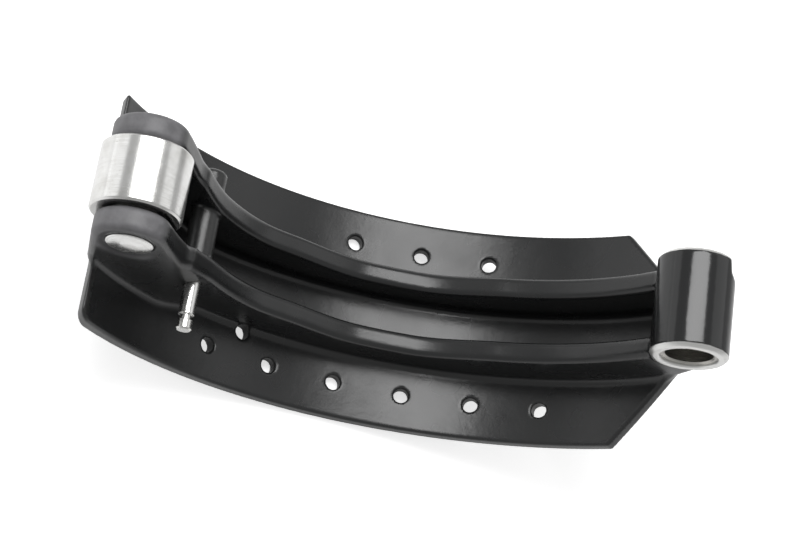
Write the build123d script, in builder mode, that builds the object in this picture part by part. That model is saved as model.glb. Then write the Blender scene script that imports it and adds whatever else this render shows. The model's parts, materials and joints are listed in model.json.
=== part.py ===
from build123d import *

import os
from math import atan2, cos, degrees, radians, sin

# Cast brake shoe without its lining, with a cam roller at one end and an anchor eye at the other.
# Units are millimetres and +Z is up. The origin is the middle of the anchor bore, +Y runs along the
# drum axis, and +X points from the roller end to the anchor end. The shoe lies on its curved back.
# Angles are measured about the drum axis from the middle of the arc, positive to the anchor end.

# Arc of the shoe
table_inner_radius = 185.0
table_thickness = 8.0
table_width = 125.0
roller_end_angle = -60.3
roller_end_outer_angle = -57.7
anchor_end_angle = 56.0
roller_end_corner_radius = 6.0
roller_end_far_corner_radius = 1.5
taper_start_angle = 45.0
taper_end_width = 46.0
rest_turn = 7.8

# Webs that stiffen the table
web_thickness = 12.0
web_gap = 25.6
web_depth = 31.0
web_waist_dip = 7.0
web_waist_start_angle = -8.0
web_waist_end_angle = 12.0
web_waist_run_angle = 8.0
web_waist_bend_radius = 30.0
web_rim_chamfer = 1.6
web_foot_chamfer = 3.0

# Cam roller, its pin and the two lugs
roller_axis_depth = 29.1
roller_axis_angle = -68.75
roller_radius = 23.3
roller_length = 35.0
roller_chamfer = 1.0
roller_side_clearance = 1.0
roller_pin_clearance = 0.05
lug_thickness = 13.0
lug_radius = 19.5
lug_bend_run = 20.0
lug_bend_radius = 30.0
neck_end_angle = -41.0
neck_corner_radius = 25.0
roller_pin_radius = 12.0
roller_pin_proud = 3.0
roller_pin_chamfer = 1.5

# Anchor eye and its bush
anchor_axis_depth = 24.3
anchor_axis_angle = 67.1
anchor_eye_radius = 20.8
anchor_eye_length = 55.0
anchor_eye_chamfer = 2.0
anchor_flat_angle = 20.0
anchor_flat_end_depth = 3.6
anchor_flat_root_depth = 2.4
anchor_flat_length = 9.0
anchor_flat_runout = 3.0
anchor_bore_radius = 12.5
bush_wall = 2.5
bush_inset = 1.5
bush_chamfer = 0.8

# Return spring pin and the cast tube that holds it
spring_pin_axis_depth = 29.0
spring_pin_axis_angle = -44.0
spring_pin_radius = 4.3
spring_pin_reach = 52.5
spring_pin_chamfer = 0.8
spring_groove_from_end = 7.0
spring_groove_width = 3.0
spring_groove_depth = 1.3
spring_tube_radius = 7.8
spring_tube_reach = 37.0
spring_tube_chamfer = 1.5

# Rivet holes for the lining
rivet_hole_radius = 4.2
rivet_pitch_angle = 12.2
outer_row_first_angle = -29.3
outer_row_offset = 42.5
near_row_holes = (0, 1, 2, 3, 4, 5)
far_row_holes = (2, 3, 4)
inner_hole_angle = -23.0
inner_hole_offset = 28.5

# Derived sizes
table_outer_radius = table_inner_radius + table_thickness
table_middle_radius = table_inner_radius + table_thickness / 2
web_edge_radius = table_inner_radius - web_depth
web_waist_radius = web_edge_radius + web_waist_dip
web_inner = web_gap / 2
web_outer = web_inner + web_thickness
lug_inner = roller_length / 2 + roller_side_clearance
lug_outer = lug_inner + lug_thickness
bush_radius = anchor_bore_radius + bush_wall
bush_length = anchor_eye_length - 2 * bush_inset
pin_bore_radius = roller_pin_radius + roller_pin_clearance


def on_arc(radius, angle):
    """Point of the side view at a radius and an angle about the drum axis."""
    return Vector(radius * sin(radians(angle)), -radius * cos(radians(angle)))


def drum_arc(radius, start_angle, end_angle):
    """Arc of the side view about the drum axis."""
    middle = on_arc(radius, (start_angle + end_angle) / 2)
    return ThreePointArc(on_arc(radius, start_angle), middle, on_arc(radius, end_angle))


roller_axis = on_arc(table_inner_radius - roller_axis_depth, roller_axis_angle)
anchor_axis = on_arc(table_inner_radius - anchor_axis_depth, anchor_axis_angle)
spring_axis = on_arc(table_inner_radius - spring_pin_axis_depth, spring_pin_axis_angle)

# The side plane is centred on the drum axis and faces -Y. The plan plane looks down on the shoe.
along = Vector(cos(radians(rest_turn)), 0, sin(radians(rest_turn)))
upward = Vector(-sin(radians(rest_turn)), 0, cos(radians(rest_turn)))
drum_centre = -(along * anchor_axis.X + upward * anchor_axis.Y)
side = Plane(origin=drum_centre, x_dir=along, z_dir=(0, -1, 0))
plan = Plane(origin=drum_centre, x_dir=along, z_dir=upward)


def drum_distance(point):
    """Distance of a point from the drum axis."""
    return Vector(point.X - drum_centre.X, 0, point.Z - drum_centre.Z).length


def axle_plane(point, across=0.0):
    """Side plane moved to a point of the side view and to a distance along +Y."""
    return Plane(origin=side.from_local_coords((point.X, point.Y, -across)), x_dir=along, z_dir=(0, -1, 0))


def table_plane(angle, radius, across=0.0):
    """Plane square to the drum radius, with x along the drum axis and z pointing outwards."""
    point = on_arc(radius, angle)
    outwards = side.from_local_coords((point.X, point.Y, 0)) - drum_centre
    origin = side.from_local_coords((point.X, point.Y, -across))
    return Plane(origin=origin, x_dir=(0, 1, 0), z_dir=outwards)


# Table: a curved plate, square at the roller end and tapered at the anchor end
with BuildPart() as table:
    with BuildSketch(side):
        with BuildLine():
            inner_arc = drum_arc(table_inner_radius, roller_end_angle, anchor_end_angle)
            outer_arc = drum_arc(table_outer_radius, roller_end_angle, anchor_end_angle)
            Line(inner_arc @ 0, outer_arc @ 0)
            Line(inner_arc @ 1, outer_arc @ 1)
        make_face()
    extrude(amount=table_width / 2, both=True)
    end_face = table.faces().filter_by(GeomType.PLANE).sort_by(Axis.X)[0]
    end_corners = end_face.edges().filter_by(Axis.Y, reverse=True).sort_by(Axis.Y)
    fillet(end_corners[0], radius=roller_end_corner_radius)
    fillet(end_corners[-1], radius=roller_end_far_corner_radius)
    taper_run = radians(anchor_end_angle - taper_start_angle) * table_inner_radius
    with BuildSketch(table_plane(taper_start_angle, 0.8 * table_inner_radius)):
        for flip in (1, -1):
            with BuildLine():
                Polyline(
                    (flip * table_width / 2, 0),
                    (flip * taper_end_width / 2, taper_run),
                    (flip * taper_end_width / 2, 2 * taper_run),
                    (flip * table_width, 2 * taper_run),
                    (flip * table_width, 0),
                    close=True,
                )
            make_face()
    extrude(amount=0.4 * table_inner_radius, mode=Mode.SUBTRACT)

# Web: the side outline, cut from a strip that bends outwards to the lug beside the roller
neck_tip = on_arc(web_edge_radius, neck_end_angle)
neck_angle = degrees(atan2(neck_tip.Y - roller_axis.Y, neck_tip.X - roller_axis.X - lug_radius))
lug_left = roller_axis + Vector(-lug_radius, 0)
lug_top = roller_axis + Vector(0, lug_radius)
lug_right = roller_axis + Vector(lug_radius, 0).rotate(Axis.Z, neck_angle + 90)
bend_start = roller_axis.X + roller_radius
bend_end = bend_start + lug_bend_run
strip_start = roller_axis.X - 2 * lug_radius
strip_end = anchor_axis.X + anchor_eye_radius
with BuildPart() as web:
    with BuildSketch(side) as outline:
        with BuildLine():
            ThreePointArc(lug_left, lug_top, lug_right)
            neck = Line(lug_right, neck_tip)
            first_edge_end = web_waist_start_angle - web_waist_run_angle
            first_edge = drum_arc(web_edge_radius, neck_end_angle, first_edge_end)
            waist = drum_arc(web_waist_radius, web_waist_start_angle, web_waist_end_angle)
            Line(first_edge @ 1, waist @ 0)
            last_edge_start = web_waist_end_angle + web_waist_run_angle
            last_edge = drum_arc(web_edge_radius, last_edge_start, anchor_axis_angle)
            Line(waist @ 1, last_edge @ 0)
            anchor_end = Polyline(
                last_edge @ 1,
                anchor_axis + on_arc(anchor_eye_radius, anchor_axis_angle),
                on_arc(table_middle_radius, anchor_end_angle),
            )
            foot = drum_arc(table_middle_radius, anchor_end_angle, roller_end_angle)
            Line(foot @ 1, lug_left)
        make_face()
        fillet(outline.vertices().sort_by_distance(neck_tip)[0], radius=neck_corner_radius)
        for corner in (first_edge @ 1, waist @ 0, waist @ 1, last_edge @ 0):
            fillet(outline.vertices().sort_by_distance(corner)[0], radius=web_waist_bend_radius)
    extrude(amount=table_width / 2)
    with BuildSketch(plan) as strip:
        with BuildLine():
            Polyline(
                (strip_start, -lug_inner),
                (bend_start, -lug_inner),
                (bend_end, -web_inner),
                (strip_end, -web_inner),
                (strip_end, -web_outer),
                (bend_end, -web_outer),
                (bend_start, -lug_outer),
                (strip_start, -lug_outer),
                close=True,
            )
        make_face()
        fillet(
            strip.vertices().filter_by(lambda vertex: strip_start < vertex.X < strip_end),
            radius=lug_bend_radius,
        )
    extrude(amount=-table_outer_radius, mode=Mode.INTERSECT)
    rim_faces = web.faces().filter_by(lambda face: abs(face.normal_at().Y) < 0.01)
    rim_faces = rim_faces.sort_by(lambda face: drum_distance(face.center()))[:-2]
    chamfer(rim_faces.edges().filter_by(Axis.Y, reverse=True), length=web_rim_chamfer)

# Anchor eye: a plain boss across both webs, with a ground flat at its far end
flat_turn = Location((0, 0, 0), (0, 0, anchor_flat_angle)) * Location((0, 0, 0), (-90, 0, 0))
with BuildPart() as anchor_eye:
    with BuildSketch(axle_plane(anchor_axis)):
        Circle(anchor_eye_radius)
    extrude(amount=anchor_eye_length / 2, both=True)
    chamfer(anchor_eye.edges().filter_by(GeomType.CIRCLE), length=anchor_eye_chamfer)
    with BuildSketch(axle_plane(anchor_axis, anchor_eye_length / 2) * flat_turn):
        with BuildLine():
            Polyline(
                (anchor_eye_radius - anchor_flat_end_depth, 0),
                (anchor_eye_radius - anchor_flat_root_depth, -anchor_flat_length),
                (anchor_eye_radius, -anchor_flat_length - anchor_flat_runout),
                (2 * anchor_eye_radius, -anchor_flat_length - anchor_flat_runout),
                (2 * anchor_eye_radius, 0),
                close=True,
            )
        make_face()
    extrude(amount=anchor_eye_radius, both=True, mode=Mode.SUBTRACT)

# Spring tube: a round bridge from the near web, through the far web and a little past it
with BuildPart() as spring_tube:
    with BuildSketch(axle_plane(spring_axis, spring_tube_reach)):
        Circle(spring_tube_radius)
    extrude(amount=spring_tube_reach + web_outer)
    chamfer(spring_tube.edges().group_by(Axis.Y)[-1], length=spring_tube_chamfer)

# Shoe casting: the table, both webs, the eye and the tube in one piece, then bored and drilled
with BuildPart() as shoe_casting:
    add(table.part)
    add(web.part)
    add(mirror(web.part, about=Plane.XZ))
    add(anchor_eye.part)
    add(spring_tube.part)
    foot_edges = shoe_casting.edges().filter_by(
        lambda edge: abs(drum_distance(edge @ 0) - table_inner_radius) < 0.01
        and abs(drum_distance(edge @ 1) - table_inner_radius) < 0.01
        and web_inner - 0.01 < abs((edge @ 0.5).Y) < lug_outer + 0.01
        and edge.length > table_thickness
    )
    chamfer(foot_edges, length=web_foot_chamfer)
    with BuildSketch(side):
        with BuildLine():
            Polyline(
                on_arc(table_inner_radius, roller_end_angle),
                on_arc(table_outer_radius, roller_end_outer_angle),
                on_arc(table_outer_radius + table_thickness, roller_end_outer_angle),
                on_arc(table_outer_radius, roller_end_angle) + Vector(-table_thickness, 0),
                on_arc(table_inner_radius, roller_end_angle) + Vector(-table_thickness, 0),
                close=True,
            )
        make_face()
    extrude(amount=table_width, both=True, mode=Mode.SUBTRACT)
    with BuildSketch(axle_plane(roller_axis)):
        Circle(roller_pin_radius)
    extrude(amount=table_width / 2, both=True, mode=Mode.SUBTRACT)
    with BuildSketch(axle_plane(anchor_axis)):
        Circle(bush_radius)
    extrude(amount=table_width / 2, both=True, mode=Mode.SUBTRACT)
    with BuildSketch(axle_plane(spring_axis)):
        Circle(spring_pin_radius)
    extrude(amount=table_width / 2, both=True, mode=Mode.SUBTRACT)
    near_row = [(outer_row_first_angle + k * rivet_pitch_angle, -outer_row_offset) for k in near_row_holes]
    far_row = [(outer_row_first_angle + k * rivet_pitch_angle, outer_row_offset) for k in far_row_holes]
    inner_holes = [(inner_hole_angle, -inner_hole_offset), (inner_hole_angle, inner_hole_offset)]
    for angle, across in near_row + far_row + inner_holes:
        with Locations(table_plane(angle, table_middle_radius, across)):
            Cylinder(rivet_hole_radius, 2 * table_thickness, mode=Mode.SUBTRACT)

# Cam roller: a turned steel ring that runs on its pin between the lugs
with BuildPart() as cam_roller:
    with BuildSketch(axle_plane(roller_axis)):
        Circle(roller_radius)
        Circle(pin_bore_radius, mode=Mode.SUBTRACT)
    extrude(amount=roller_length / 2, both=True)
    chamfer(cam_roller.edges().filter_by(GeomType.CIRCLE), length=roller_chamfer)

# Roller pin: pressed through both lugs, with a little of each end standing out
with BuildPart() as roller_pin:
    with BuildSketch(axle_plane(roller_axis)):
        Circle(roller_pin_radius)
    extrude(amount=lug_outer + roller_pin_proud, both=True)
    chamfer(roller_pin.edges().filter_by(GeomType.CIRCLE), length=roller_pin_chamfer)

# Anchor bush: pressed into the eye, a little short of each face
with BuildPart() as anchor_bush:
    with BuildSketch(axle_plane(anchor_axis)):
        Circle(bush_radius)
        Circle(anchor_bore_radius, mode=Mode.SUBTRACT)
    extrude(amount=bush_length / 2, both=True)
    bore_edges = anchor_bush.edges().filter_by(GeomType.CIRCLE)
    chamfer(bore_edges.filter_by(lambda edge: edge.radius < bush_radius), length=bush_chamfer)

# Return spring pin: pressed through the tube, with a hook groove near its long end
with BuildPart() as return_spring_pin:
    with BuildSketch(axle_plane(spring_axis, spring_tube_reach)):
        Circle(spring_pin_radius)
    extrude(amount=spring_tube_reach + spring_pin_reach)
    chamfer(return_spring_pin.edges().filter_by(GeomType.CIRCLE), length=spring_pin_chamfer)
    with BuildSketch(axle_plane(spring_axis, spring_groove_from_end - spring_pin_reach)):
        Circle(2 * spring_pin_radius)
        Circle(spring_pin_radius - spring_groove_depth, mode=Mode.SUBTRACT)
    extrude(amount=spring_groove_width / 2, both=True, mode=Mode.SUBTRACT)

shoe_casting.part.label = "shoe_casting"
cam_roller.part.label = "cam_roller"
roller_pin.part.label = "roller_pin"
anchor_bush.part.label = "anchor_bush"
return_spring_pin.part.label = "return_spring_pin"

os.makedirs("parts", exist_ok=True)
export_step(shoe_casting.part, "parts/shoe_casting.step")
export_step(cam_roller.part, "parts/cam_roller.step")
export_step(roller_pin.part, "parts/roller_pin.step")
export_step(anchor_bush.part, "parts/anchor_bush.step")
export_step(return_spring_pin.part, "parts/return_spring_pin.step")
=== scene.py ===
"""Surfaces, finishes and studio of a cast brake shoe with a cam roller and a bushed anchor eye.

The casting is one closed surface, the zero level of a distance worked out from plain forms that are
blended with rounded joins, as a pattern maker blends them. The turned pieces are profiles carried
round their own axes. Lengths are in metres, in the frame of the CAD model: the origin is the middle
of the anchor bore, +Y runs along the drum axis and +Z is up.
"""

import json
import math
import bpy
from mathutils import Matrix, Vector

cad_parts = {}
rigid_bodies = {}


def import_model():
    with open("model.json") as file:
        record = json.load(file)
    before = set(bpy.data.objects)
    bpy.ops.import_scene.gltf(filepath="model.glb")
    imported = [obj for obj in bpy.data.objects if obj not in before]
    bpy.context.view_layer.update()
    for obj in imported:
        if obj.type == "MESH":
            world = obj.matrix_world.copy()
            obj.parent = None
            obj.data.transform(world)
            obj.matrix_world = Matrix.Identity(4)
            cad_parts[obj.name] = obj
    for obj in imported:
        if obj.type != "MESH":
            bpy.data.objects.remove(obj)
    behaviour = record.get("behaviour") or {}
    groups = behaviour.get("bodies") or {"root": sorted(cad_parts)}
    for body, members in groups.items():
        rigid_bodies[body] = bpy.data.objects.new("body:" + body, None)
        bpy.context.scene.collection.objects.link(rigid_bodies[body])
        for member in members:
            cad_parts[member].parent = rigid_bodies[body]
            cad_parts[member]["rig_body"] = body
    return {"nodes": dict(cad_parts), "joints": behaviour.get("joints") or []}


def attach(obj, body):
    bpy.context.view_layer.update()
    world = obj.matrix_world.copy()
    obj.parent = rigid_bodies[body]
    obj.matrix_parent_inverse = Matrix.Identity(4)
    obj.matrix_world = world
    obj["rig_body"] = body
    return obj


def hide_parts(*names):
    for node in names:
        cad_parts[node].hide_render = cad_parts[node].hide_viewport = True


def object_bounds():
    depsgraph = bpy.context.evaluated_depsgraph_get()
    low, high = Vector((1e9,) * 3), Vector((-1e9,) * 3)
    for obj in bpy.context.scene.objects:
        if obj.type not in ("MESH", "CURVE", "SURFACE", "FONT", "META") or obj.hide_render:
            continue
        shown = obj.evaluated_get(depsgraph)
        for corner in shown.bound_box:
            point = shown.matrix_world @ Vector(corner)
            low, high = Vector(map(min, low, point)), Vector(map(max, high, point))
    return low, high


bl_info = {
    "name": "Cast Brake Shoe",
    "version": (1, 0, 0),
    "blender": (4, 5, 0),
    "location": "3D View > Sidebar > Brake Shoe",
    "description": "Builds the surfaces, finishes and studio of a cast brake shoe",
    "category": "Object",
}

import bpy
import numpy as np
from bpy.props import FloatProperty, FloatVectorProperty, IntProperty, PointerProperty
from mathutils import Matrix, Vector

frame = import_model()
CAD_BOX = [list(corner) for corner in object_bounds()]
ROLLER_AXIS = frame["joints"][0]["pos_m"]
CORNER_STEPS = 5  # steps along each rounded corner of a turned profile


def length(name, description, default):
    """A size of the shoe, kept in metres."""
    return FloatProperty(
        name=name, description=description, default=default, min=0.0, unit="LENGTH", precision=4
    )


def colour(name, description, default):
    """A colour of a finish."""
    return FloatVectorProperty(name=name, description=description, subtype="COLOR", size=3, default=default)


def side_vector(name, description, default):
    """A place or direction of the side view: along, towards the far side, and up."""
    return FloatVectorProperty(name=name, description=description, subtype="XYZ", size=3, default=default)


def power(name, description, default):
    """Power of a softbox, in watts."""
    return FloatProperty(name=name, description=description, default=default, min=0.0, unit="POWER")


def angle(name, description, degrees):
    """An angle about the drum axis, measured from the middle of the arc towards the anchor end."""
    return FloatProperty(name=name, description=description, default=math.radians(degrees), unit="ROTATION")


class CastingShape(bpy.types.PropertyGroup):
    """Sizes of the casting."""

    table_radius: length("Table radius", "Outer radius of the curved table", 0.193)
    table_thickness: length("Table thickness", "Thickness of the curved table", 0.008)
    table_width: length("Table width", "Width of the table along the drum axis", 0.125)
    table_edge: length("Table edge", "Rounding of the table's edges", 0.0016)
    roller_end: angle("Roller end", "Angle of the table's inner edge at the roller end", -60.3)
    roller_end_back: angle("Roller end back", "Angle of the table's outer edge at the roller end", -57.7)
    near_corner: length("Near corner", "Rounding of the table's near corner at the roller end", 0.006)
    far_corner: length("Far corner", "Rounding of the table's far corner at the roller end", 0.0015)
    anchor_end: angle("Anchor end", "Angle of the table's end at the anchor", 56.0)
    taper_start: angle("Taper start", "Angle where the table starts to narrow", 45.0)
    taper_width: length("Taper width", "Width of the table at the anchor end", 0.046)
    taper_edge: length("Taper edge", "Rounding of the corner where the taper starts", 0.0008)
    web_gap: length("Web gap", "Clear width between the two webs", 0.0256)
    web_thickness: length("Web thickness", "Thickness of each web", 0.012)
    web_depth: length("Web depth", "Height of the webs above the table", 0.031)
    web_start: angle("Web start", "Angle where the webs' even depth ends at the roller end", -47.0)
    waist_dip: length("Waist dip", "How much lower the webs are at the waist", 0.007)
    waist_start: angle("Waist start", "Angle where the waist is first at its full dip", -3.0)
    waist_end: angle("Waist end", "Angle where the waist is last at its full dip", 7.0)
    waist_run: angle("Waist run", "Angle over which the edge runs into the waist", 18.0)
    rim_radius: length("Rim rounding", "Rounding of the webs' free edges", 0.0034)
    foot_radius: length("Foot fillet", "Fillet between the webs and the table", 0.004)
    lug_radius: length("Lug radius", "Outer radius of the lugs about the roller pin", 0.0195)
    lug_thickness: length("Lug thickness", "Thickness of each lug", 0.013)
    lug_gap: length("Lug gap", "Clear width between the lugs", 0.037)
    lug_bend: length("Lug bend", "Run over which a web bends outwards to its lug", 0.029)
    lug_bend_place: length("Lug bend place", "Distance of the bend's middle from the roller axis", 0.0333)
    pin_bore: length("Pin bore", "Radius of the lugs' bores for the roller pin", 0.012)
    pin_bore_edge: length("Pin bore edge", "Rounding of the edges of the lugs' bores", 0.0008)
    neck_angle: angle("Neck angle", "Angle where the neck of the lug meets the web's free edge", -41.0)
    neck_radius: length("Neck fillet", "Fillet between the neck and the web's free edge", 0.025)
    eye_radius: length("Eye radius", "Outer radius of the anchor eye", 0.0208)
    eye_length: length("Eye length", "Length of the anchor eye", 0.055)
    eye_chamfer: length("Eye chamfer", "Chamfer of the anchor eye's ends", 0.002)
    eye_fillet: length("Eye fillet", "Fillet between the webs and the anchor eye", 0.004)
    eye_bore: length("Eye bore", "Radius of the bore that holds the bush", 0.015)
    eye_bore_edge: length("Eye bore edge", "Rounding of the edges of the eye's bore", 0.0007)
    flat_angle: angle("Flat angle", "Direction that the ground flat of the eye faces, above level", 20.0)
    flat_depth: length("Flat depth", "Depth of the ground flat at the eye's far end", 0.0036)
    flat_root: length("Flat root", "Depth of the ground flat at its root", 0.0024)
    flat_length: length("Flat length", "Length of the ground flat before it runs out", 0.009)
    flat_runout: length("Flat runout", "Length over which the flat runs out", 0.003)
    flat_edge: length("Flat edge", "Rounding of the flat's edges", 0.0004)
    tube_radius: length("Tube radius", "Outer radius of the cast tube round the spring pin", 0.0078)
    tube_reach: length("Tube reach", "How far the tube reaches past the middle on the far side", 0.037)
    tube_depth: length("Tube depth", "Depth of the tube's axis below the table's inner radius", 0.029)
    tube_angle: angle("Tube angle", "Angle of the tube's axis", -44.0)
    tube_bore: length("Tube bore", "Radius of the bore through the tube", 0.0043)
    tube_bore_edge: length("Tube bore edge", "Rounding of the edges of the tube's bore", 0.0006)
    tube_chamfer: length("Tube chamfer", "Chamfer of the tube's end", 0.0015)
    tube_fillet: length("Tube fillet", "Fillet between the tube and the webs", 0.002)
    rivet_radius: length("Rivet hole radius", "Radius of the rivet holes", 0.0042)
    rivet_edge: length("Rivet hole edge", "Rounding of the rivet holes' edges", 0.0011)
    rivet_start: angle("First rivet", "Angle of the first rivet hole of the outer rows", -29.3)
    rivet_pitch: angle("Rivet pitch", "Angle between neighbouring rivet holes", 12.2)
    rivet_offset: length("Outer row offset", "Distance of the outer rows from the middle", 0.0425)
    inner_hole_angle: angle("Inner hole", "Angle of the hole beside each web", -23.0)
    inner_hole_offset: length("Inner hole offset", "Distance of the inner holes from the middle", 0.0285)
    anchor_depth: length("Anchor depth", "Depth of the anchor axis below the table's inner radius", 0.0243)
    anchor_angle: angle("Anchor angle", "Angle of the anchor axis", 67.1)
    roller_depth: length("Roller depth", "Depth of the roller axis below the table's inner radius", 0.0291)
    roller_angle: angle("Roller angle", "Angle of the roller axis", -68.75)
    wear_reach: length("Wear reach", "Distance from the skin at which edge wear is measured", 0.0022)
    wear_rise: length("Wear rise", "Measure of an edge that is fully worn", 0.0016)
    shading_reach: length("Shading reach", "Reach over which the casting's shading is smoothed", 0.001)
    skin_step: length("Skin step", "Spacing of the net that the casting's skin is drawn on", 0.0016)
    fine_step: length("Fine step", "Spacing of the net at the rivet holes", 0.0011)
    column_reach: length("Column reach", "Finer net on both sides of a hole, along the shoe", 0.0056)
    row_reach: length("Row reach", "Finer net on both sides of a hole, across the shoe", 0.0052)
    side_reach: length("Side reach", "Finest net at the table's sides", 0.0022)


class TurnedShape(bpy.types.PropertyGroup):
    """Sizes of the turned pieces."""

    roller_radius: length("Roller radius", "Outer radius of the cam roller", 0.0233)
    roller_bore: length("Roller bore", "Radius of the bore of the cam roller", 0.01205)
    roller_length: length("Roller length", "Length of the cam roller", 0.035)
    pin_radius: length("Roller pin radius", "Radius of the roller pin", 0.012)
    pin_half: length("Roller pin half length", "Half of the length of the roller pin", 0.0345)
    pin_dome: length("Roller pin dome", "Rise of the roller pin's domed ends", 0.002)
    bush_radius: length("Bush radius", "Outer radius of the anchor bush", 0.015)
    bush_bore: length("Bush bore", "Radius of the bore of the anchor bush", 0.0125)
    bush_length: length("Bush length", "Length of the anchor bush", 0.052)
    spring_radius: length("Spring pin radius", "Radius of the return spring pin", 0.0043)
    spring_reach: length("Spring pin reach", "Distance of the spring pin's long end from the middle", 0.0525)
    spring_back: length("Spring pin back", "Distance of the spring pin's far end from the middle", 0.037)
    groove_from_end: length("Groove from end", "Distance of the hook groove from the pin's end", 0.007)
    groove_width: length("Groove width", "Width of the hook groove", 0.003)
    groove_depth: length("Groove depth", "Depth of the hook groove", 0.0013)
    roller_chamfer: length("Roller chamfer", "Chamfer of the cam roller's edges", 0.001)
    bore_chamfer: length("Bore chamfer", "Chamfer of the bush's bore and of the spring pin's ends", 0.0008)
    dome_step: length("Dome step", "Narrowing from the roller pin's side to its domed ends", 0.0006)
    fine_round: length("Fine rounding", "Rounding of the turned pieces' edges", 0.0004)
    steps_round: IntProperty(
        name="Steps round", description="Points round each turned piece", default=128, min=24
    )


class Finishes(bpy.types.PropertyGroup):
    """Colours and finishes."""

    paint: colour("Paint", "Colour of the black paint", (0.010, 0.0105, 0.011))
    # Painted highlight: this lighter grey on the lugs' upper outer rims stands in for light falling on them;
    # the paint there is not really rubbed.
    lug_sheen_paint: colour("Rubbed paint", "Colour of the rubbed paint round the lugs", (0.15, 0.148, 0.155))
    thin_paint: colour("Thin paint", "Colour where the paint is thin or dusty", (0.030, 0.030, 0.029))
    steel: colour("Steel", "Colour of turned steel", (0.80, 0.80, 0.79))
    dull_steel: colour("Dull steel", "Colour of oiled steel", (0.50, 0.49, 0.46))


class Studio(bpy.types.PropertyGroup):
    """Camera and light."""

    lens: FloatProperty(
        name="Lens", description="Focal length on a 36 mm sensor", default=81.57, unit="CAMERA"
    )
    camera_place: side_vector(
        "Camera place", "Place of the camera from the drum axis", (-0.16119, -0.32698, 0.78876)
    )
    camera_right: side_vector("Camera right", "Direction of the image's right", (0.96419, 0.14185, 0.22411))
    camera_up: side_vector("Camera up", "Direction of the image's top", (-0.20731, 0.93009, 0.30323))
    surround: FloatProperty(
        name="Surround", description="Strength of the pale surround", default=0.45, min=0.0
    )
    overhead: power("Overhead", "Power of the overhead softbox", 11.0)
    overhead_place: side_vector("Overhead place", "Place of the overhead softbox", (-0.06, 0.42, 1.0))
    left: power("Left", "Power of the softbox beside the roller", 0.34)
    left_place: side_vector("Left place", "Place of the softbox beside the roller", (-0.52, 0.16, 0.07))
    right: power("Right", "Power of the softbox beside the anchor", 0.5)
    right_place: side_vector("Right place", "Place of the softbox beside the anchor", (0.72, 0.3, 0.3))


def drum_frame(shape):
    """Drum axis and turn of the side view in the CAD frame.

    The anchor axis is at the origin and the roller axis is where the joint says. The turn is the
    angle between the line of the two axes in the CAD frame and the same line in the side view.
    """
    inner = shape.table_radius - shape.table_thickness
    anchor = np.array(on_arc(inner - shape.anchor_depth, shape.anchor_angle))
    roller = np.array(on_arc(inner - shape.roller_depth, shape.roller_angle))
    seen = roller - anchor
    turn = math.atan2(ROLLER_AXIS[2], ROLLER_AXIS[0]) - math.atan2(seen[1], seen[0])
    along = np.array((math.cos(turn), math.sin(turn)))
    upward = np.array((-math.sin(turn), math.cos(turn)))
    centre = -(along * anchor[0] + upward * anchor[1])
    return centre, along, upward


def on_arc(radius, turn):
    """Point of the side view, along and up, at a radius and an angle about the drum axis."""
    return radius * math.sin(turn), -radius * math.cos(turn)


def join(a, b, radius):
    """Union of two forms with a fillet.

    Nearer than the radius to both forms, the distance is the radius less the length of the two
    shortfalls taken as a right-angled pair, which is a round fillet. Elsewhere it is the smaller one.
    """
    shortfall = np.hypot(np.maximum(radius - a, 0), np.maximum(radius - b, 0))
    return np.maximum(radius, np.minimum(a, b)) - shortfall


def meet(a, b, radius):
    """Common part of two forms with a rounded edge: the fillet of their outsides, turned inside out."""
    excess = np.hypot(np.maximum(radius + a, 0), np.maximum(radius + b, 0))
    return np.minimum(-radius, np.maximum(a, b)) + excess


def bevel(a, b, width):
    """Common part of two forms with a chamfer: the larger of both and of the slanted plane between them."""
    return np.maximum(np.maximum(a, b), (a + b + width) * math.sqrt(0.5))


def ease(value, start, end):
    """Smooth step from 0 at start to 1 at end: 3 t squared less 2 t cubed."""
    t = np.clip((value - start) / (end - start), 0.0, 1.0)
    return t * t * (3.0 - 2.0 * t)


def beyond_line(x, h, start, end, inside):
    """Distance past the line from start to end, less than 0 on the side of the point named inside."""
    dx, dh = end[0] - start[0], end[1] - start[1]
    size = math.hypot(dx, dh)
    sign = 1.0 if dh * (inside[0] - start[0]) - dx * (inside[1] - start[1]) < 0 else -1.0
    return sign * (dh * (x - start[0]) - dx * (h - start[1])) / size


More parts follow.
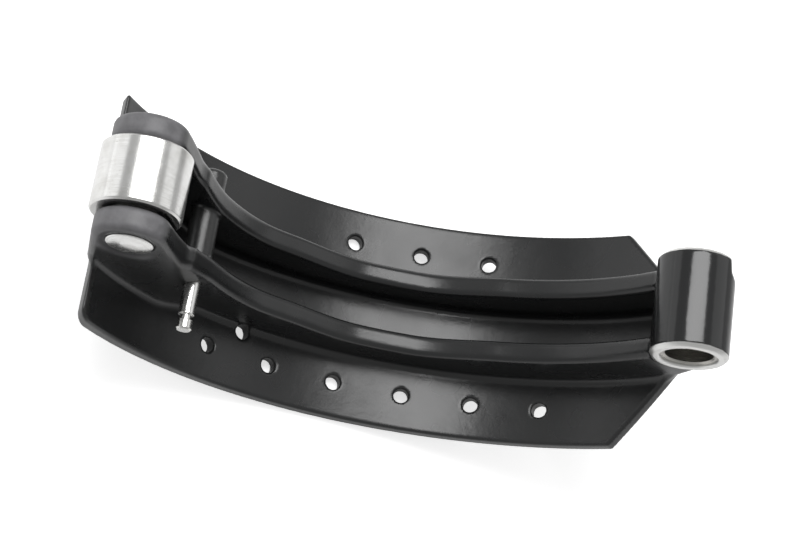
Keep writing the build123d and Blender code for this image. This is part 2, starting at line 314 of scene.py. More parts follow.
def casting_distance(shape, x, y, h):
    """Distance to the casting's skin at points of the side view, less than 0 inside the metal.

    The table is a slab between two radii, cut by its ends, sides and tapers. Each web is a plate in
    the side view's outline, whose middle plane eases outwards to the lug. The eye and the tube are
    round bars. Joins have fillets, free edges are rounded, and the bores and rivet holes are taken out.
    """
    inner = shape.table_radius - shape.table_thickness
    middle = shape.table_radius - shape.table_thickness / 2
    rho = np.hypot(x, h)
    turn = np.arctan2(x, -h)
    side = np.abs(y)

    lowest = (0.0, -middle)
    end_back = on_arc(shape.table_radius, shape.roller_end_back)
    end = beyond_line(x, h, on_arc(inner, shape.roller_end), end_back, lowest)
    outline = meet(side - shape.table_width / 2, end, np.where(y < 0, shape.near_corner, shape.far_corner))
    run = inner * (shape.anchor_end - shape.taper_start)
    narrowing = (shape.table_width - shape.taper_width) / 2
    run_along = rho * np.sin(turn - shape.taper_start)
    taper = ((side - shape.table_width / 2) * run + run_along * narrowing) / math.hypot(run, narrowing)
    outline = meet(outline, taper, shape.taper_edge)
    outline = np.maximum(outline, rho * np.sin(turn - shape.anchor_end))
    table = meet(np.abs(rho - middle) - shape.table_thickness / 2, outline, shape.table_edge)

    edge = inner - shape.web_depth
    dip = ease(turn, shape.waist_start - shape.waist_run, shape.waist_start)
    dip = dip - ease(turn, shape.waist_end, shape.waist_end + shape.waist_run)
    band = np.maximum(edge + shape.waist_dip * dip - rho, -rho * np.sin(turn - shape.web_start))
    roller = on_arc(inner - shape.roller_depth, shape.roller_angle)
    neck_tip = on_arc(edge, shape.neck_angle)
    from_roller = np.hypot(x - roller[0], h - roller[1])
    lean = math.atan2(neck_tip[1] - roller[1], neck_tip[0] - roller[0] - shape.lug_radius) + math.pi / 2
    lug_right = roller[0] + shape.lug_radius * math.cos(lean), roller[1] + shape.lug_radius * math.sin(lean)
    lug_left = roller[0] - shape.lug_radius, roller[1]
    foot = on_arc(middle, shape.roller_end)
    cheek = beyond_line(x, h, lug_left, foot, roller)
    cheek = np.maximum(cheek, beyond_line(x, h, lug_right, neck_tip, roller))
    cheek = np.maximum(cheek, beyond_line(x, h, lug_left, lug_right, foot))
    profile = join(band, np.minimum(cheek, from_roller - shape.lug_radius), shape.neck_radius)
    anchor = on_arc(inner - shape.anchor_depth, shape.anchor_angle)
    eye_top = on_arc(inner - shape.anchor_depth + shape.eye_radius, shape.anchor_angle)
    profile = np.maximum(profile, beyond_line(x, h, eye_top, on_arc(middle, shape.anchor_end), lowest))
    profile = np.maximum(profile, rho * np.sin(turn - shape.anchor_angle))
    profile = np.maximum(profile, rho - middle)
    bend_start = roller[0] + shape.lug_bend_place - shape.lug_bend / 2
    out = 1.0 - ease(x, bend_start, bend_start + shape.lug_bend)
    shift = (shape.lug_gap + shape.lug_thickness - shape.web_gap - shape.web_thickness) / 2
    place = (shape.web_gap + shape.web_thickness) / 2 + shift * out
    half = (shape.web_thickness + (shape.lug_thickness - shape.web_thickness) * out) / 2
    slope = 6.0 * shift / shape.lug_bend * out * (1.0 - out)
    plate = (np.abs(side - place) - half) / np.sqrt(1.0 + slope * slope)
    web = meet(profile, plate, shape.rim_radius)
    solid = join(table, web, shape.foot_radius)

    from_anchor = np.hypot(x - anchor[0], h - anchor[1])
    eye = bevel(from_anchor - shape.eye_radius, side - shape.eye_length / 2, shape.eye_chamfer)
    root = shape.eye_length / 2 - shape.flat_length
    flat_places = root - shape.flat_runout, root, shape.eye_length / 2
    flat = np.interp(y, flat_places, (0.0, shape.flat_root, shape.flat_depth))
    facing = (x - anchor[0]) * math.cos(shape.flat_angle) + (h - anchor[1]) * math.sin(shape.flat_angle)
    eye = meet(eye, facing - shape.eye_radius + flat, shape.flat_edge)
    before_eye = -rho * np.sin(turn - shape.anchor_angle)
    solid = join(solid, eye, shape.eye_fillet * np.clip(before_eye / shape.eye_radius, 0.0, 1.0))

    spring = on_arc(inner - shape.tube_depth, shape.tube_angle)
    from_spring = np.hypot(x - spring[0], h - spring[1])
    web_outer = shape.web_gap / 2 + shape.web_thickness
    tube_span = np.abs(y - (shape.tube_reach - web_outer) / 2) - (shape.tube_reach + web_outer) / 2
    tube = bevel(from_spring - shape.tube_radius, tube_span, shape.tube_chamfer)
    solid = join(solid, tube, shape.tube_fillet)

    solid = meet(solid, shape.eye_bore - from_anchor, shape.eye_bore_edge)
    solid = meet(solid, shape.tube_bore - from_spring, shape.tube_bore_edge)
    solid = meet(solid, shape.pin_bore - from_roller, shape.pin_bore_edge)
    for place_turn, place_side in rivet_places(shape):
        sideways = x * math.cos(place_turn) + h * math.sin(place_turn)
        hole = np.hypot(sideways, y - place_side) - shape.rivet_radius
        hole = np.maximum(hole, np.abs(rho - middle) - shape.table_thickness)
        solid = meet(solid, -hole, shape.rivet_edge)
    return solid


def rivet_places(shape):
    """Angle and place along the drum axis of each rivet hole: six near, three far, one beside each web."""
    near = [(shape.rivet_start + k * shape.rivet_pitch, -shape.rivet_offset) for k in range(6)]
    far = [(shape.rivet_start + k * shape.rivet_pitch, shape.rivet_offset) for k in (2, 3, 4)]
    inner = [(shape.inner_hole_angle, flip * shape.inner_hole_offset) for flip in (-1, 1)]
    return near + far + inner


def slope_of(distance, points, reach):
    """Direction in which the distance grows: half the difference across each axis, over the reach."""
    steps = []
    for axis in range(3):
        offset = np.zeros(3)
        offset[axis] = reach
        ahead, behind = points + offset, points - offset
        steps.append((distance(*ahead.T) - distance(*behind.T)) / (2 * reach))
    return np.stack(steps, axis=1)


def settle(distance, points, step, rounds):
    """Moves points on to the skin: along the slope, by the distance over the slope's squared length."""
    for _ in range(rounds):
        slope = slope_of(distance, points, 0.1 * step)
        size = np.maximum((slope**2).sum(axis=1), 0.25)
        move = np.clip(distance(*points.T) / size, -0.6 * step, 0.6 * step)
        points = points - slope * move[:, None]
    return points


def grid_line(low, high, step, bands):
    """Places of the grid planes along one axis: even steps, and finer ones in some bands.

    A band is its middle, its reach to both sides and its own step. The planes are where the running
    total of the density, one over the step, passes whole numbers.
    """
    places = np.arange(low, high, step / 16)
    density = np.full(places.shape, 1.0 / 16)
    for place, reach, fine_step in bands:
        density[np.abs(places - place) < reach] = step / fine_step / 16
    total = np.cumsum(density)
    return np.interp(np.arange(total[0], total[-1]), total, places)


def skin(distance, axes, step):
    """Closed net of four-sided faces on the zero level of a distance.

    The distance is worked out on a box grid. Every grid cell that the skin crosses gets one point, the
    mean of the crossings of its edges, and every crossed grid edge gets one face between the four
    cells round it. The points then slide level with their neighbours and settle on the skin.
    """
    field = distance(axes[0][:, None, None], axes[1][None, :, None], axes[2][None, None, :])
    size = field.shape
    total = np.zeros((4, field.size))
    faces = []
    for axis in range(3):
        first = np.moveaxis(field, axis, 0)[:-1]
        second = np.moveaxis(field, axis, 0)[1:]
        crossed = (first < 0) != (second < 0)
        start, stop = first[crossed], second[crossed]
        index = np.argwhere(crossed)
        order = [axis] + [k for k in range(3) if k != axis]
        place = np.empty_like(index)
        place[:, order] = index
        point = place.astype(float)
        point[:, axis] += start / (start - stop)
        u, v = (axis + 1) % 3, (axis + 2) % 3
        ring = []
        for du, dv in ((0, 0), (-1, 0), (-1, -1), (0, -1)):
            cell = place.copy()
            cell[:, u] += du
            cell[:, v] += dv
            cell = np.ravel_multi_index(cell.T, size)
            for k in range(3):
                total[k] += np.bincount(cell, weights=point[:, k], minlength=field.size)
            total[3] += np.bincount(cell, minlength=field.size)
            ring.append(cell)
        ring = np.stack(ring, axis=1)
        faces.append(np.where((start < 0)[:, None], ring, ring[:, ::-1]))
    faces = np.concatenate(faces)
    used, faces = np.unique(faces, return_inverse=True)
    faces = faces.reshape(-1, 4)
    places = total[:3, used] / total[3, used]
    points = np.stack([np.interp(at, np.arange(len(axis)), axis) for at, axis in zip(places, axes)], axis=1)
    points = settle(distance, points, step, 2)
    pairs = np.concatenate([faces[:, (k, (k + 1) % 4)] for k in range(4)])
    pairs = np.concatenate([pairs, pairs[:, ::-1]])
    count = np.bincount(pairs[:, 0], minlength=len(points))
    for _ in range(3):
        neighbours = points[pairs[:, 1]]
        mean = [np.bincount(pairs[:, 0], weights=neighbours[:, k], minlength=len(points)) for k in range(3)]
        pull = np.stack(mean, axis=1) / count[:, None] - points
        normal = unit(slope_of(distance, points, 0.25 * step))
        pull -= normal * (pull * normal).sum(axis=1)[:, None]
        points = settle(distance, points + 0.6 * pull, step, 1)
    points = settle(distance, points, step, 1)
    return points, faces


def unit(vectors):
    """Vectors of length one."""
    return vectors / np.maximum(np.linalg.norm(vectors, axis=1), 1e-12)[:, None]


def rounded(corners):
    """Closed or open profile with rounded corners, and the outward direction at each point.

    Corners are (radius, across, rounding), with the metal on the left of the way round. At each corner
    the arc is centred where both sides, moved inwards by the rounding, cross. Points run along the arc
    from one side's outward direction to the next side's.
    """
    where = np.array([corner[:2] for corner in corners], float)
    points, outward = [], []
    for k, (_, _, radius) in enumerate(corners):
        before = where[k] - where[k - 1]
        after = where[(k + 1) % len(where)] - where[k]
        before, after = before / np.linalg.norm(before), after / np.linalg.norm(after)
        first, last = np.array((before[1], -before[0])), np.array((after[1], -after[0]))
        sweep = math.atan2(first[0] * last[1] - first[1] * last[0], float(first @ last))
        t = np.linspace(0.0, sweep, CORNER_STEPS + 1)[:, None]
        side = np.array((-first[1], first[0]))
        arc = first * np.cos(t) + side * np.sin(t)
        centre = where[k] - (first + last) * radius * math.copysign(1.0, sweep) / (1.0 + float(first @ last))
        points.append(centre + arc * radius * math.copysign(1.0, sweep))
        outward.append(arc)
    return np.concatenate(points), np.concatenate(outward)


def domed(radius, rise, end, facing):
    """Domed end of a bar, from its axis to its side: an arc of the sphere that rises by the rise."""
    sphere = (radius**2 + rise**2) / (2 * rise)
    t = np.linspace(0.0, math.asin(radius / sphere), 12)
    points = np.stack([sphere * np.sin(t), end - facing * sphere * (1.0 - np.cos(t))], axis=1)
    return points, np.stack([np.sin(t), facing * np.cos(t)], axis=1)


def turned(profile, outward, centre, steps, closed):
    """Surface of revolution about a line along Y: the profile's radius times the cosine and sine of the turn.

    A closed profile's last point joins its first. An open one starts and ends on the axis, where each
    ring of points is one point and the faces round it have three sides.
    """
    turns = np.linspace(0.0, 2 * math.pi, steps, endpoint=False)
    ring = np.stack([np.cos(turns), np.zeros(steps), np.sin(turns)], axis=1)
    points = profile[:, None, :1] * ring[None] + np.array((0.0, 1.0, 0.0)) * profile[:, None, 1:]
    normals = outward[:, None, :1] * ring[None] + np.array((0.0, 1.0, 0.0)) * outward[:, None, 1:]
    rows = len(profile)
    index = np.arange(rows * steps).reshape(rows, steps)
    index[profile[:, 0] < 1e-9] = index[profile[:, 0] < 1e-9, :1]
    row = np.arange(rows if closed else rows - 1)[:, None]
    column = np.arange(steps)[None]
    after, beside = (row + 1) % rows, (column + 1) % steps
    faces = np.stack([index[row, column], index[after, column], index[after, beside], index[row, beside]], -1)
    faces = faces.reshape(-1, 4)
    used, faces = np.unique(faces, return_inverse=True)
    faces = faces.reshape(-1, 4)
    start, end = faces[:, 0] == faces[:, 3], faces[:, 1] == faces[:, 2]
    faces = faces[~(start | end)].tolist() + faces[start][:, :3].tolist() + faces[end][:, (0, 1, 3)].tolist()
    points = points.reshape(-1, 3)[used] + np.array(centre)
    return points, faces, normals.reshape(-1, 3)[used]


def show(name, points, faces, normals, node, material):
    """Puts a surface in the scene for a CAD node: it rides on the node's body and takes its slot's finish."""
    mesh = bpy.data.meshes.new(name)
    mesh.from_pydata(points.tolist(), [], faces)
    mesh.polygons.foreach_set("use_smooth", np.ones(len(mesh.polygons), bool))
    mesh.normals_split_custom_set_from_vertices(normals.tolist())
    mesh.update()
    piece = bpy.data.objects.new(name, mesh)
    bpy.context.scene.collection.objects.link(piece)
    mesh.materials.append(material)
    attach(piece, frame["nodes"][node]["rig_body"])
    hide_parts(node)
    return piece


class Nodes:
    """Node tree of one material, with short calls for the nodes that the finishes use."""

    def __init__(self, name):
        """Starts a material whose tree has only the shader, its output and the object's coordinates."""
        self.material = bpy.data.materials.new(name)
        self.material.use_nodes = True
        self.tree = self.material.node_tree
        self.shader = self.tree.nodes["Principled BSDF"]
        self.coordinates = self.new("ShaderNodeTexCoord").outputs["Object"]

    def new(self, kind, inputs=None, **settings):
        """Node with its inputs linked or set, and its settings."""
        node = self.tree.nodes.new(kind)
        for key, value in settings.items():
            setattr(node, key, value)
        for key, value in (inputs or {}).items():
            if isinstance(value, bpy.types.NodeSocket):
                self.tree.links.new(value, node.inputs[key])
            else:
                node.inputs[key].default_value = value
        return node

    def noise(self, scale, detail=3.0, roughness=0.55, vector=None):
        """Soft noise with about the given number of humps per metre."""
        inputs = {"Scale": scale, "Detail": detail, "Roughness": roughness}
        inputs["Vector"] = vector or self.coordinates
        return self.new("ShaderNodeTexNoise", inputs).outputs["Fac"]

    def stretched(self, scale):
        """Coordinates scaled by a different amount along each axis."""
        return self.new("ShaderNodeMapping", {"Vector": self.coordinates, "Scale": scale}).outputs["Vector"]

    def remap(self, value, low, high, to_low, to_high):
        """Value taken from one range to another and held at its ends."""
        inputs = {"Value": value, "From Min": low, "From Max": high, "To Min": to_low, "To Max": to_high}
        return self.new("ShaderNodeMapRange", inputs).outputs["Result"]

    def math(self, operation, first, second=0.0):
        """Result of a sum, product or other operation on one or two values."""
        return self.new("ShaderNodeMath", {0: first, 1: second}, operation=operation).outputs["Value"]

    def mix(self, factor, first, second):
        """Colour between two colours."""
        node = self.new("ShaderNodeMix", {"Factor": factor}, data_type="RGBA")
        colours = [socket for socket in node.inputs if socket.type == "RGBA"]
        for socket, value in zip(colours, (first, second)):
            if isinstance(value, bpy.types.NodeSocket):
                self.tree.links.new(value, socket)
            else:
                socket.default_value = (*value, 1.0)
        return [socket for socket in node.outputs if socket.type == "RGBA"][0]

    def lug_rim(self, shape):
        """Mask of the lugs' outer rims, where a painted highlight goes: far enough from the roller axis, on
        its outer side and on its upper side.
        """
        place = self.new("ShaderNodeVectorMath", {0: self.coordinates, 1: ROLLER_AXIS}, operation="SUBTRACT")
        parts = self.new("ShaderNodeSeparateXYZ", {"Vector": place.outputs["Vector"]})
        squares = [self.math("POWER", parts.outputs[axis], 2.0) for axis in ("X", "Z")]
        from_roller = self.math("SQRT", self.math("ADD", *squares))
        near = self.remap(from_roller, shape.lug_radius + 0.001, shape.lug_radius + 0.005, 1.0, 0.0)
        rim = self.remap(from_roller, shape.lug_radius - 0.004, shape.lug_radius - 0.001, 0.25, 1.0)
        outer = self.remap(parts.outputs["X"], 0.011, 0.016, 1.0, 0.0)
        upper = self.remap(parts.outputs["Z"], -0.026, -0.006, 0.0, 1.0)
        return self.math("MULTIPLY", self.math("MULTIPLY", near, rim), self.math("MULTIPLY", outer, upper))

    def bump(self, height, distance, strength=1.0, normal=None):
        """Direction of the shading for a height of up to the distance, on top of another bump."""
        inputs = {"Height": height, "Distance": distance, "Strength": strength}
        if normal is not None:
            inputs["Normal"] = normal
        return self.new("ShaderNodeBump", inputs).outputs["Normal"]

    def drive(self, name, value):
        """Links a socket of the shader."""
        self.tree.links.new(value, self.shader.inputs[name])


def black_paint(finishes, shape):
    """Gloss black paint over a cast skin, with a painted highlight on the lugs' rims, bare and bright on the
    machined ends of the anchor eye.
    """
    n = Nodes("Black gloss paint on cast iron")
    film = n.remap(n.noise(22.0, 2.0), 0.3, 0.7, 0.0, 1.0)
    edge = n.new("ShaderNodeAttribute", attribute_name="edge").outputs["Fac"]
    worn = n.math("MULTIPLY", edge, n.remap(n.noise(420.0, 5.0, 0.6), 0.42, 0.66, 0.15, 1.0))
    thin = n.math("ADD", n.math("MULTIPLY", film, 0.2), n.math("MULTIPLY", worn, 0.65))
    paint = n.mix(thin, tuple(finishes.paint), tuple(finishes.thin_paint))
    # Painted highlight: a lighter grey on the upper outer rims of the lugs, broken up by noise, stands in for
    # light falling there.
    lug_sheen = n.math("MULTIPLY", n.lug_rim(shape), n.remap(n.noise(150.0, 4.0), 0.35, 0.65, 0.65, 1.0))
    paint = n.mix(lug_sheen, paint, tuple(finishes.lug_sheen_paint))

    parts = n.new("ShaderNodeSeparateXYZ", {"Vector": n.coordinates})
    across = n.math("ABSOLUTE", parts.outputs["Y"])
    squares = [n.math("POWER", parts.outputs[axis], 2.0) for axis in ("X", "Z")]
    from_axis = n.math("SQRT", n.math("ADD", *squares))
    line = shape.eye_length / 2 - shape.eye_chamfer
    ragged = n.math("ADD", across, n.math("MULTIPLY", n.noise(260.0), 0.0006))
    past = n.remap(ragged, line, line + 0.0004, 0.0, 1.0)
    within = n.remap(from_axis, shape.eye_radius + 0.0003, shape.eye_radius + 0.0007, 1.0, 0.0)
    bare = n.math("MULTIPLY", past, within)
    outwards = n.new("ShaderNodeCombineXYZ", {"X": n.math("MULTIPLY", from_axis, 2600.0)})
    rings = n.noise(1.0, 2.0, 0.5, outwards.outputs["Vector"])
    steel = n.mix(n.remap(rings, 0.3, 0.7, 0.0, 0.35), tuple(finishes.steel), tuple(finishes.dull_steel))

    n.drive("Base Color", n.mix(bare, paint, steel))
    n.drive("Metallic", bare)
    cast = n.remap(from_axis, shape.eye_radius + 0.001, shape.eye_radius + 0.006, 0.0, 1.0)
    patchy = n.remap(n.noise(30.0, 2.0), 0.3, 0.7, 0.25, 0.31)
    gloss = n.remap(cast, 0.0, 1.0, 0.15, n.math("ADD", patchy, n.math("MULTIPLY", worn, 0.15)))
    # The same painted-highlight mask of the lugs also makes the paint rougher there.
    gloss = n.math("ADD", gloss, n.math("MULTIPLY", lug_sheen, 0.25))
    n.drive("Roughness", n.remap(bare, 0.0, 1.0, gloss, 0.34))
    n.shader.inputs["IOR"].default_value = 1.52
    waves = n.bump(n.noise(110.0, 2.0), 0.0005, 0.25)
    skin_bump = n.bump(n.math("MULTIPLY", n.noise(700.0, 2.0, 0.5), cast), 0.0001, 0.35, waves)
    n.drive("Normal", n.bump(n.math("MULTIPLY", rings, bare), 0.00004, 0.3, skin_bump))
    return n.material


def turned_steel(name, bright, dull, rough, along_grain):
    """Turned or ground steel: fine rings round the axis, faint stains and small scuffs."""
    n = Nodes(name)
    rings = n.noise(1.0, 3.0, 0.6, n.stretched(along_grain))
    stain = n.remap(n.noise(95.0, 4.0), 0.42, 0.75, 0.0, 0.45)
    scuff = n.remap(n.noise(900.0, 2.0), 0.66, 0.74, 0.0, 0.5)
    shade = n.math("ADD", n.remap(rings, 0.35, 0.65, 0.0, 0.25), n.math("ADD", stain, scuff))
    n.drive("Base Color", n.mix(n.math("MINIMUM", shade, 1.0), bright, dull))
    n.shader.inputs["Metallic"].default_value = 1.0
    grain = n.remap(rings, 0.3, 0.7, rough - 0.05, rough + 0.06)
    n.drive("Roughness", n.math("ADD", grain, n.math("MULTIPLY", scuff, 0.2)))
    n.drive("Normal", n.bump(rings, 0.00001, 0.3, n.bump(n.noise(1400.0, 2.0), 0.00001, 0.3)))
    return n.material


class SHOE_OT_casting(bpy.types.Operator):
    """Builds the skin of the casting and paints it"""

    bl_idname = "shoe.casting"
    bl_label = "Casting"

    def execute(self, context):
        """Draws the skin on a box grid round the casting, and measures where its edges wear."""
        shape = context.scene.casting_shape
        inner = shape.table_radius - shape.table_thickness
        roller = on_arc(inner - shape.roller_depth, shape.roller_angle)
        anchor = on_arc(inner - shape.anchor_depth, shape.anchor_angle)
        before_lug, spare, beyond = 0.026, 0.003, 0.004
        low = (roller[0] - before_lug, -shape.table_width / 2 - spare, -shape.table_radius - spare)
        high = (anchor[0] + shape.eye_radius + beyond, -low[1], roller[1] + shape.lug_radius + beyond)

        def distance(x, y, h):
            """Distance to the casting's skin."""
            return casting_distance(shape, x, y, h)

        step, fine = shape.skin_step, shape.fine_step
        turns, places = zip(*rivet_places(shape))
        columns = [(shape.table_radius * math.sin(turn), shape.column_reach, fine) for turn in turns]
        rows = [(place, shape.row_reach, fine) for place in places]
        rows += [(flip * shape.table_width / 2, shape.side_reach, fine / 2) for flip in (-1, 1)]
        axes = [
            grid_line(low[0], high[0], step, columns),
            grid_line(low[1], high[1], step, rows),
            grid_line(low[2], high[2], step, ()),
        ]
        points, faces = skin(distance, axes, step)
        normals = unit(slope_of(distance, points, shape.shading_reach))
        reach = shape.wear_reach * normals
        rise = distance(*(points + reach).T) + distance(*(points - reach).T)
        edge = np.clip(rise / shape.wear_rise, 0.0, 1.0)
        centre, along, upward = drum_frame(shape)
        placed, faced = to_frame(points, centre, along, upward), to_frame(normals, (0.0, 0.0), along, upward)
        piece = show(
            "casting_skin", placed, faces.tolist(), faced, "shoe_casting",
            black_paint(context.scene.shoe_finishes, shape),
        )
        piece.data.attributes.new("edge", "FLOAT", "POINT").data.foreach_set("value", edge.astype(np.float32))
        return {"FINISHED"}


def to_frame(points, centre, along, upward):
    """Points of the side view (along, across, up) in the CAD frame."""
    flat = centre + points[:, :1] * along + points[:, 2:] * upward
    return np.stack([flat[:, 0], points[:, 1], flat[:, 1]], axis=1)


class SHOE_OT_roller(bpy.types.Operator):
    """Turns the cam roller"""

    bl_idname = "shoe.roller"
    bl_label = "Cam Roller"

    def execute(self, context):
        """Carries the roller's section round its axis."""
        sizes, finishes = context.scene.turned_shape, context.scene.shoe_finishes
        half, chamfer, fine = sizes.roller_length / 2, sizes.roller_chamfer, sizes.fine_round
        corners = [
            (sizes.roller_bore, -half, fine),
            (sizes.roller_radius - chamfer, -half, fine),
            (sizes.roller_radius, -half + chamfer, 1.5 * fine),
            (sizes.roller_radius, half - chamfer, 1.5 * fine),
            (sizes.roller_radius - chamfer, half, fine),
            (sizes.roller_bore, half, fine),
        ]
        profile, outward = rounded(corners)
        points, faces, normals = turned(profile, outward, ROLLER_AXIS, sizes.steps_round, True)
        bright, dull = tuple(finishes.steel), tuple(finishes.dull_steel)
        steel = turned_steel("Bright turned steel", bright, dull, 0.2, (40.0, 3000.0, 40.0))
        show("cam_roller_skin", points, faces, normals, "cam_roller", steel)
        return {"FINISHED"}


class SHOE_OT_pins(bpy.types.Operator):
    """Turns the roller pin and the return spring pin"""

    bl_idname = "shoe.pins"
    bl_label = "Pins"

    def execute(self, context):
        """Carries both pins' sections round their axes."""
        scene = context.scene
        shape, sizes, finishes = scene.casting_shape, scene.turned_shape, scene.shoe_finishes
        bright, dull = tuple(finishes.steel), tuple(finishes.dull_steel)
        steel = turned_steel("Ground steel", bright, dull, 0.24, (60.0, 2600.0, 60.0))
        half, radius, fine, step = sizes.pin_half, sizes.pin_radius, sizes.fine_round, sizes.dome_step
        near, near_out = domed(radius - step, sizes.pin_dome, -half, -1.0)
        far, far_out = domed(radius - step, sizes.pin_dome, half, 1.0)
        edge = half - sizes.pin_dome
        corners = [(radius - 2 * step, -edge, fine), (radius, -edge + 0.0005, 1.5 * fine)]
        corners += [(radius, edge - 0.0005, 1.5 * fine), (radius - 2 * step, edge, fine)]
        side, side_out = rounded(corners)
        between = slice(CORNER_STEPS + 1, -CORNER_STEPS - 1)
        profile = np.concatenate([near, side[between], far[::-1]])
        outward = np.concatenate([near_out, side_out[between], far_out[::-1]])
        points, faces, normals = turned(profile, outward, ROLLER_AXIS, sizes.steps_round, False)
        show("roller_pin_skin", points, faces, normals, "roller_pin", steel)

        inner = shape.table_radius - shape.table_thickness
        centre, along, upward = drum_frame(shape)
        spring = np.array(on_arc(inner - shape.tube_depth, shape.tube_angle))
        place = centre + along * spring[0] + upward * spring[1]
        radius, end, back = sizes.spring_radius, -sizes.spring_reach, sizes.spring_back
        groove, wide, waist = end + sizes.groove_from_end, sizes.groove_width / 2, radius - sizes.groove_depth
        chamfer, finer = sizes.bore_chamfer, 0.75 * fine
        corners = [
            (0.0, end, 0.0),
            (radius - chamfer, end, finer),
            (radius, end + chamfer, fine),
            (radius, groove - wide, finer),
            (waist, groove - wide, finer),
            (waist, groove + wide, finer),
            (radius, groove + wide, finer),
            (radius, back - chamfer, fine),
            (radius - chamfer, back, finer),
            (0.0, back, 0.0),
        ]
        profile, outward = rounded(corners)
        profile, outward = profile[CORNER_STEPS:-CORNER_STEPS], outward[CORNER_STEPS:-CORNER_STEPS]
        profile[0, 0], profile[-1, 0] = 0.0, 0.0
        points, faces, normals = turned(profile, outward, (place[0], 0.0, place[1]), sizes.steps_round, False)
        show("spring_pin_skin", points, faces, normals, "return_spring_pin", steel)
        return {"FINISHED"}


class SHOE_OT_bush(bpy.types.Operator):
    """Turns the anchor bush"""

    bl_idname = "shoe.bush"
    bl_label = "Anchor Bush"

    def execute(self, context):
        """Carries the bush's section round the anchor axis."""
        sizes, finishes = context.scene.turned_shape, context.scene.shoe_finishes
        half, chamfer, fine = sizes.bush_length / 2, sizes.bore_chamfer, sizes.fine_round
        corners = [
            (sizes.bush_bore, -half + chamfer, fine),
            (sizes.bush_bore + chamfer, -half, 0.75 * fine),
            (sizes.bush_radius, -half, 0.5 * fine),
            (sizes.bush_radius, half, 0.5 * fine),
            (sizes.bush_bore + chamfer, half, 0.75 * fine),
            (sizes.bush_bore, half - chamfer, fine),
        ]
        profile, outward = rounded(corners)
        points, faces, normals = turned(profile, outward, (0.0, 0.0, 0.0), sizes.steps_round, True)
        dull = tuple(finishes.dull_steel)
        dark = tuple(0.6 * part for part in dull)
        metal = turned_steel("Bored bush metal", dull, dark, 0.3, (50.0, 1800.0, 50.0))
        show("anchor_bush_skin", points, faces, normals, "anchor_bush", metal)
        return {"FINISHED"}


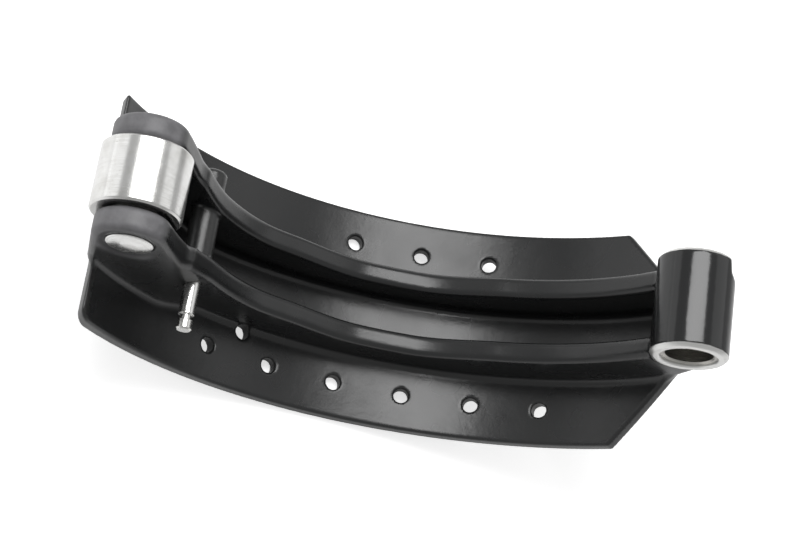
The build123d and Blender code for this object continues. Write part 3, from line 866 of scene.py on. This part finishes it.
class SHOE_OT_studio(bpy.types.Operator):
    """Sets the floor, the pale surround, the softboxes and the camera"""

    bl_idname = "shoe.studio"
    bl_label = "Studio"

    def execute(self, context):
        """Places everything in the side view's own directions, from the drum axis."""
        scene, setup = context.scene, context.scene.shoe_studio
        scene.view_settings.view_transform = "Standard"
        low, high = (Vector(corner) for corner in CAD_BOX)
        self.floor(low.z)
        self.surround(scene, setup)
        middle = (low + high) / 2
        centre, along, upward = drum_frame(scene.casting_shape)

        def local(direction):
            """Direction of the side view in the CAD frame."""
            flat = along * direction[0] + upward * direction[2]
            return Vector((flat[0], direction[1], flat[1]))

        drum = Vector((centre[0], 0.0, centre[1]))
        self.softbox("overhead_softbox", drum + local(setup.overhead_place), middle, 0.9, 0.6, setup.overhead)
        self.softbox("left_softbox", drum + local(setup.left_place), middle, 0.6, 0.28, setup.left)
        self.softbox("right_softbox", drum + local(setup.right_place), middle, 0.6, 0.5, setup.right)
        data = bpy.data.cameras.new("camera")
        data.lens, data.sensor_width, data.sensor_fit = setup.lens, 36.0, "HORIZONTAL"
        data.clip_start, data.clip_end = 0.05, 20.0
        camera = bpy.data.objects.new("camera", data)
        scene.collection.objects.link(camera)
        right = local(setup.camera_right)
        back = right.cross(local(setup.camera_up)).normalized()
        up = back.cross(right).normalized()
        turn = Matrix((right.normalized(), up, back)).transposed().to_4x4()
        camera.matrix_world = Matrix.Translation(drum + local(setup.camera_place)) @ turn
        scene.camera = camera
        return {"FINISHED"}

    def floor(self, level):
        """Pale floor: white to the camera, faint in reflections, and still darkened by the shoe's shadow."""
        grid = np.linspace(-3.0, 3.0, 13)
        x, y = np.meshgrid(grid, grid, indexing="ij")
        points = np.stack([x, y, np.full_like(x, level)], axis=-1).reshape(-1, 3)
        row, column = np.meshgrid(np.arange(12), np.arange(12), indexing="ij")
        first = (row * 13 + column).ravel()
        faces = np.stack([first, first + 13, first + 14, first + 1], axis=1)
        mesh = bpy.data.meshes.new("floor")
        mesh.from_pydata(points.tolist(), [], faces.tolist())
        floor = bpy.data.objects.new("floor", mesh)
        bpy.context.scene.collection.objects.link(floor)
        n = Nodes("Pale studio floor")
        tint = n.remap(n.noise(3.0), 0.3, 0.7, 0.86, 0.9)
        pale = n.new("ShaderNodeCombineColor", {"Red": tint, "Green": tint, "Blue": tint})
        n.drive("Base Color", pale.outputs["Color"])
        n.shader.inputs["Roughness"].default_value = 0.9
        rays = n.new("ShaderNodeLightPath")
        seen = n.math("MULTIPLY", rays.outputs["Is Camera Ray"], 0.62)
        mirrored = n.math("MULTIPLY", rays.outputs["Is Glossy Ray"], 0.1)
        n.shader.inputs["Emission Color"].default_value = (1.0, 1.0, 1.0, 1.0)
        n.drive("Emission Strength", n.math("ADD", seen, mirrored))
        mesh.materials.append(n.material)

    def surround(self, scene, setup):
        """World: white where the camera looks past the floor, and an even pale light elsewhere."""
        world = bpy.data.worlds.new("pale_surround")
        world.use_nodes = True
        scene.world = world
        tree = world.node_tree
        background = tree.nodes["Background"]
        background.inputs["Color"].default_value = (1.0, 1.0, 1.0, 1.0)
        rays = tree.nodes.new("ShaderNodeLightPath")
        reach = tree.nodes.new("ShaderNodeMapRange")
        reach.inputs["To Min"].default_value = setup.surround
        reach.inputs["To Max"].default_value = 1.0
        tree.links.new(rays.outputs["Is Camera Ray"], reach.inputs["Value"])
        tree.links.new(reach.outputs["Result"], background.inputs["Strength"])

    def softbox(self, name, place, target, width, height, watts):
        """Large soft lamp aimed at the shoe."""
        aim = (target - place).to_track_quat("-Z", "Y").to_matrix().to_4x4()
        data = bpy.data.lights.new(name, "AREA")
        data.shape, data.size, data.size_y, data.energy = "RECTANGLE", width, height, watts
        lamp = bpy.data.objects.new(name, data)
        bpy.context.scene.collection.objects.link(lamp)
        lamp.matrix_world = Matrix.Translation(place) @ aim


STEPS = (
    SHOE_OT_casting,
    SHOE_OT_roller,
    SHOE_OT_pins,
    SHOE_OT_bush,
    SHOE_OT_studio,
)


class SHOE_PT_panel(bpy.types.Panel):
    """Sidebar panel of the brake shoe"""

    bl_idname = "SHOE_PT_panel"
    bl_label = "Brake Shoe"
    bl_space_type = "VIEW_3D"
    bl_region_type = "UI"
    bl_category = "Brake Shoe"

    def draw(self, context):
        """One button for each step, and the finishes and the studio's values."""
        for step in STEPS:
            self.layout.operator(step.bl_idname)
        for group in (context.scene.shoe_finishes, context.scene.shoe_studio):
            box = self.layout.box()
            for name in group.__annotations__:
                box.prop(group, name)


GROUPS = {
    "casting_shape": CastingShape,
    "turned_shape": TurnedShape,
    "shoe_finishes": Finishes,
    "shoe_studio": Studio,
}


def register():
    """Registers every class and hangs each group of values on the scene."""
    for group in (*GROUPS.values(), *STEPS, SHOE_PT_panel):
        bpy.utils.register_class(group)
    for name, group in GROUPS.items():
        setattr(bpy.types.Scene, name, PointerProperty(type=group))


def unregister():
    """Takes the groups of values off the scene and unregisters every class."""
    for name in GROUPS:
        delattr(bpy.types.Scene, name)
    for group in (SHOE_PT_panel, *reversed(STEPS), *reversed(GROUPS.values())):
        bpy.utils.unregister_class(group)


def main():
    """Registers the classes, and builds every piece and the studio."""
    register()
    bpy.ops.shoe.casting()
    bpy.ops.shoe.roller()
    bpy.ops.shoe.pins()
    bpy.ops.shoe.bush()
    bpy.ops.shoe.studio()


if __name__ == "__main__":
    main()
